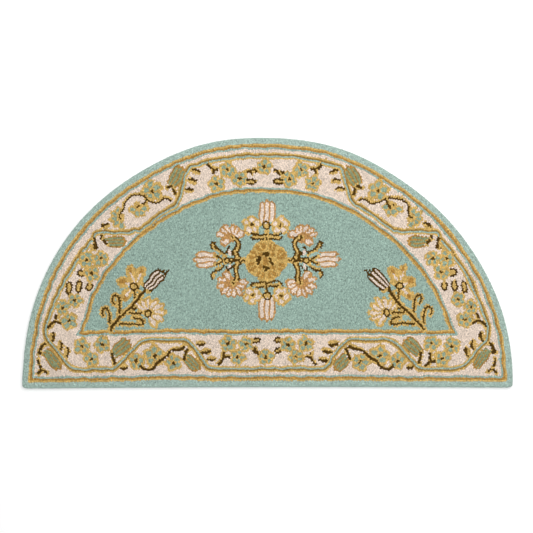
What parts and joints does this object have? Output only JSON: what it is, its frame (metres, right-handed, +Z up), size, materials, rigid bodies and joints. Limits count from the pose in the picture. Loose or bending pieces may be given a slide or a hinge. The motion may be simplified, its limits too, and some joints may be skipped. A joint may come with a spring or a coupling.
{
  "type": "half round hearth rug",
  "caption": "Flat half round tufted wool rug with a straight edge that lies along a hearth, a floral border and a small centre medallion.",
  "frame": {"origin": "on the floor, under the middle of the rug's box", "axes": "+X along the straight edge, +Y from the straight edge towards the crown of the half round, +Z up through the pile"},
  "size_m": [1.1176, 0.5709, 0.012],
  "materials": {
    "wool_pile": "cut wool pile, matt"
  },
  "bodies": {
    "root": {"rug": "wool_pile"}
  },
  "joints": []
}
